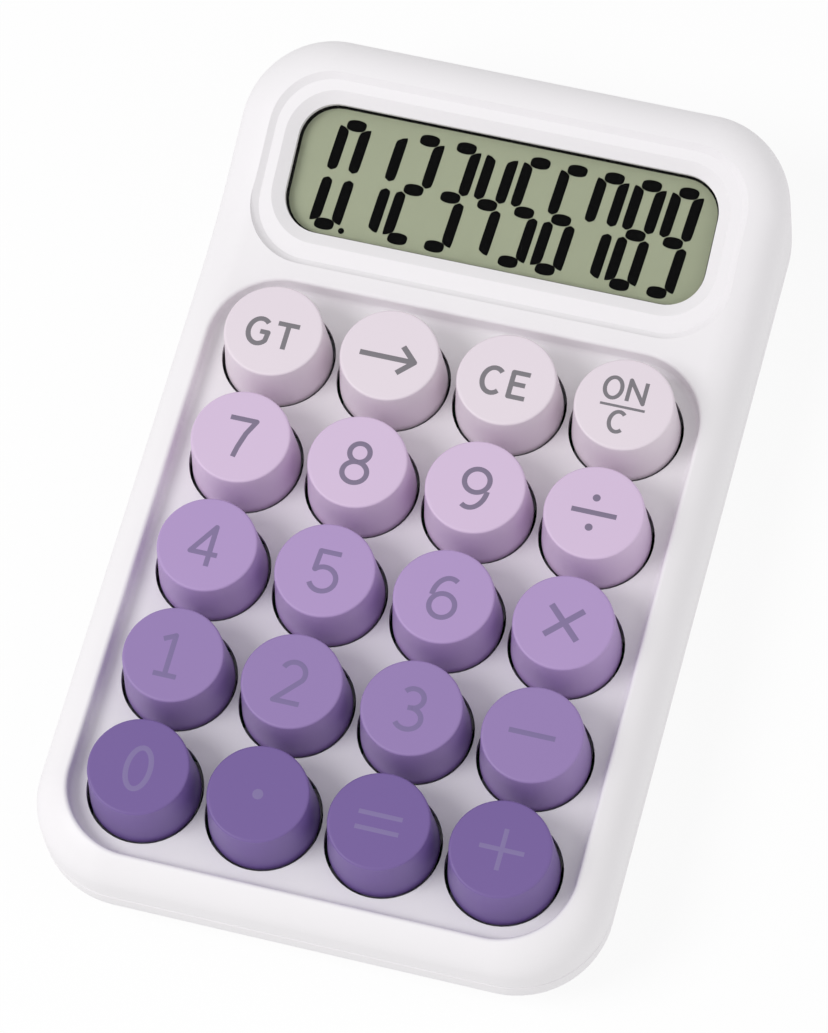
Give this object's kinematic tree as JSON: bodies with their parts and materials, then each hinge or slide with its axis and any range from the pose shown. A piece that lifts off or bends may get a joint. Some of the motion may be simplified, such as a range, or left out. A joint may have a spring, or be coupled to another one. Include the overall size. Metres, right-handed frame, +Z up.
{
  "type": "desktop calculator",
  "caption": "Small desk calculator with round mechanical keys in a sunk well, a tilted numeric display and a sliding battery door underneath.",
  "frame": {"origin": "under the middle of the case, on the surface that the feet stand on", "axes": "+Z up, +Y from the keys towards the display, +X to the right along a row of keys"},
  "size_m": [0.0912, 0.1468, 0.0294],
  "materials": {
    "key_row_1": "smooth matte, very pale pink-lavender",
    "key_row_2": "smooth matte, light lilac",
    "key_row_3": "smooth matte, lilac",
    "key_row_4": "smooth matte, purple",
    "key_row_5": "smooth matte, deep purple",
    "switch_stem": "satin",
    "switch_housing": "satin",
    "spring_steel": "bright",
    "circuit_board": "satin solder mask",
    "chip_resin": "matte",
    "case_plastic": "fine matte",
    "foot_rubber": "matte",
    "lens": "clear, glossy",
    "display_panel": "grey-green, semi-matte",
    "cable_plastic": "satin",
    "battery_sleeve": "satin foil sleeve"
  },
  "bodies": {
    "root": {"switch_bases": "switch_housing", "switch_tops": "switch_housing", "switch_springs": "spring_steel", "main_board": "circuit_board", "calculator_chip": "chip_resin", "board_screws": "spring_steel", "top_case": "case_plastic", "bottom_case": "case_plastic", "case_screws": "spring_steel", "feet": "foot_rubber", "display_lens": "lens", "lcd_panel": "display_panel", "lcd_holder": "switch_housing", "zebra_strips": "foot_rubber", "display_board": "circuit_board", "ribbon_cable": "cable_plastic", "battery_leads": "cable_plastic", "battery": "battery_sleeve", "battery_contacts": "spring_steel"},
    "key_gt": {"keycap_gt": "key_row_1", "stem_gt": "switch_stem"},
    "key_arrow": {"keycap_arrow": "key_row_1", "stem_arrow": "switch_stem"},
    "key_ce": {"keycap_ce": "key_row_1", "stem_ce": "switch_stem"},
    "key_on_c": {"keycap_on_c": "key_row_1", "stem_on_c": "switch_stem"},
    "key_7": {"keycap_7": "key_row_2", "stem_7": "switch_stem"},
    "key_8": {"keycap_8": "key_row_2", "stem_8": "switch_stem"},
    "key_9": {"keycap_9": "key_row_2", "stem_9": "switch_stem"},
    "key_divide": {"keycap_divide": "key_row_2", "stem_divide": "switch_stem"},
    "key_4": {"keycap_4": "key_row_3", "stem_4": "switch_stem"},
    "key_5": {"keycap_5": "key_row_3", "stem_5": "switch_stem"},
    "key_6": {"keycap_6": "key_row_3", "stem_6": "switch_stem"},
    "key_multiply": {"keycap_multiply": "key_row_3", "stem_multiply": "switch_stem"},
    "key_1": {"keycap_1": "key_row_4", "stem_1": "switch_stem"},
    "key_2": {"keycap_2": "key_row_4", "stem_2": "switch_stem"},
    "key_3": {"keycap_3": "key_row_4", "stem_3": "switch_stem"},
    "key_minus": {"keycap_minus": "key_row_4", "stem_minus": "switch_stem"},
    "key_0": {"keycap_0": "key_row_5", "stem_0": "switch_stem"},
    "key_point": {"keycap_point": "key_row_5", "stem_point": "switch_stem"},
    "key_equals": {"keycap_equals": "key_row_5", "stem_equals": "switch_stem"},
    "key_plus": {"keycap_plus": "key_row_5", "stem_plus": "switch_stem"},
    "door": {"battery_door": "case_plastic"}
  },
  "joints": [
    {"name": "press_gt", "type": "slide", "parent": "root", "child": "key_gt", "axis": [0, 0, -1], "range_m": [0, 0.0038], "stiffness_N_per_m": 100, "springref_m": -0.003, "deforming": ["switch_springs"]},
    {"name": "press_arrow", "type": "slide", "parent": "root", "child": "key_arrow", "axis": [0, 0, -1], "range_m": [0, 0.0038], "stiffness_N_per_m": 100, "springref_m": -0.003, "deforming": ["switch_springs"]},
    {"name": "press_ce", "type": "slide", "parent": "root", "child": "key_ce", "axis": [0, 0, -1], "range_m": [0, 0.0038], "stiffness_N_per_m": 100, "springref_m": -0.003, "deforming": ["switch_springs"]},
    {"name": "press_on_c", "type": "slide", "parent": "root", "child": "key_on_c", "axis": [0, 0, -1], "range_m": [0, 0.0038], "stiffness_N_per_m": 100, "springref_m": -0.003, "deforming": ["switch_springs"]},
    {"name": "press_7", "type": "slide", "parent": "root", "child": "key_7", "axis": [0, 0, -1], "range_m": [0, 0.0038], "stiffness_N_per_m": 100, "springref_m": -0.003, "deforming": ["switch_springs"]},
    {"name": "press_8", "type": "slide", "parent": "root", "child": "key_8", "axis": [0, 0, -1], "range_m": [0, 0.0038], "stiffness_N_per_m": 100, "springref_m": -0.003, "deforming": ["switch_springs"]},
    {"name": "press_9", "type": "slide", "parent": "root", "child": "key_9", "axis": [0, 0, -1], "range_m": [0, 0.0038], "stiffness_N_per_m": 100, "springref_m": -0.003, "deforming": ["switch_springs"]},
    {"name": "press_divide", "type": "slide", "parent": "root", "child": "key_divide", "axis": [0, 0, -1], "range_m": [0, 0.0038], "stiffness_N_per_m": 100, "springref_m": -0.003, "deforming": ["switch_springs"]},
    {"name": "press_4", "type": "slide", "parent": "root", "child": "key_4", "axis": [0, 0, -1], "range_m": [0, 0.0038], "stiffness_N_per_m": 100, "springref_m": -0.003, "deforming": ["switch_springs"]},
    {"name": "press_5", "type": "slide", "parent": "root", "child": "key_5", "axis": [0, 0, -1], "range_m": [0, 0.0038], "stiffness_N_per_m": 100, "springref_m": -0.003, "deforming": ["switch_springs"]},
    {"name": "press_6", "type": "slide", "parent": "root", "child": "key_6", "axis": [0, 0, -1], "range_m": [0, 0.0038], "stiffness_N_per_m": 100, "springref_m": -0.003, "deforming": ["switch_springs"]},
    {"name": "press_multiply", "type": "slide", "parent": "root", "child": "key_multiply", "axis": [0, 0, -1], "range_m": [0, 0.0038], "stiffness_N_per_m": 100, "springref_m": -0.003, "deforming": ["switch_springs"]},
    {"name": "press_1", "type": "slide", "parent": "root", "child": "key_1", "axis": [0, 0, -1], "range_m": [0, 0.0038], "stiffness_N_per_m": 100, "springref_m": -0.003, "deforming": ["switch_springs"]},
    {"name": "press_2", "type": "slide", "parent": "root", "child": "key_2", "axis": [0, 0, -1], "range_m": [0, 0.0038], "stiffness_N_per_m": 100, "springref_m": -0.003, "deforming": ["switch_springs"]},
    {"name": "press_3", "type": "slide", "parent": "root", "child": "key_3", "axis": [0, 0, -1], "range_m": [0, 0.0038], "stiffness_N_per_m": 100, "springref_m": -0.003, "deforming": ["switch_springs"]},
    {"name": "press_minus", "type": "slide", "parent": "root", "child": "key_minus", "axis": [0, 0, -1], "range_m": [0, 0.0038], "stiffness_N_per_m": 100, "springref_m": -0.003, "deforming": ["switch_springs"]},
    {"name": "press_0", "type": "slide", "parent": "root", "child": "key_0", "axis": [0, 0, -1], "range_m": [0, 0.0038], "stiffness_N_per_m": 100, "springref_m": -0.003, "deforming": ["switch_springs"]},
    {"name": "press_point", "type": "slide", "parent": "root", "child": "key_point", "axis": [0, 0, -1], "range_m": [0, 0.0038], "stiffness_N_per_m": 100, "springref_m": -0.003, "deforming": ["switch_springs"]},
    {"name": "press_equals", "type": "slide", "parent": "root", "child": "key_equals", "axis": [0, 0, -1], "range_m": [0, 0.0038], "stiffness_N_per_m": 100, "springref_m": -0.003, "deforming": ["switch_springs"]},
    {"name": "press_plus", "type": "slide", "parent": "root", "child": "key_plus", "axis": [0, 0, -1], "range_m": [0, 0.0038], "stiffness_N_per_m": 100, "springref_m": -0.003, "deforming": ["switch_springs"]},
    {"name": "slide_door", "type": "slide", "parent": "root", "child": "door", "axis": [0, 1, 0], "range_m": [0, 0.013]}
  ]
}
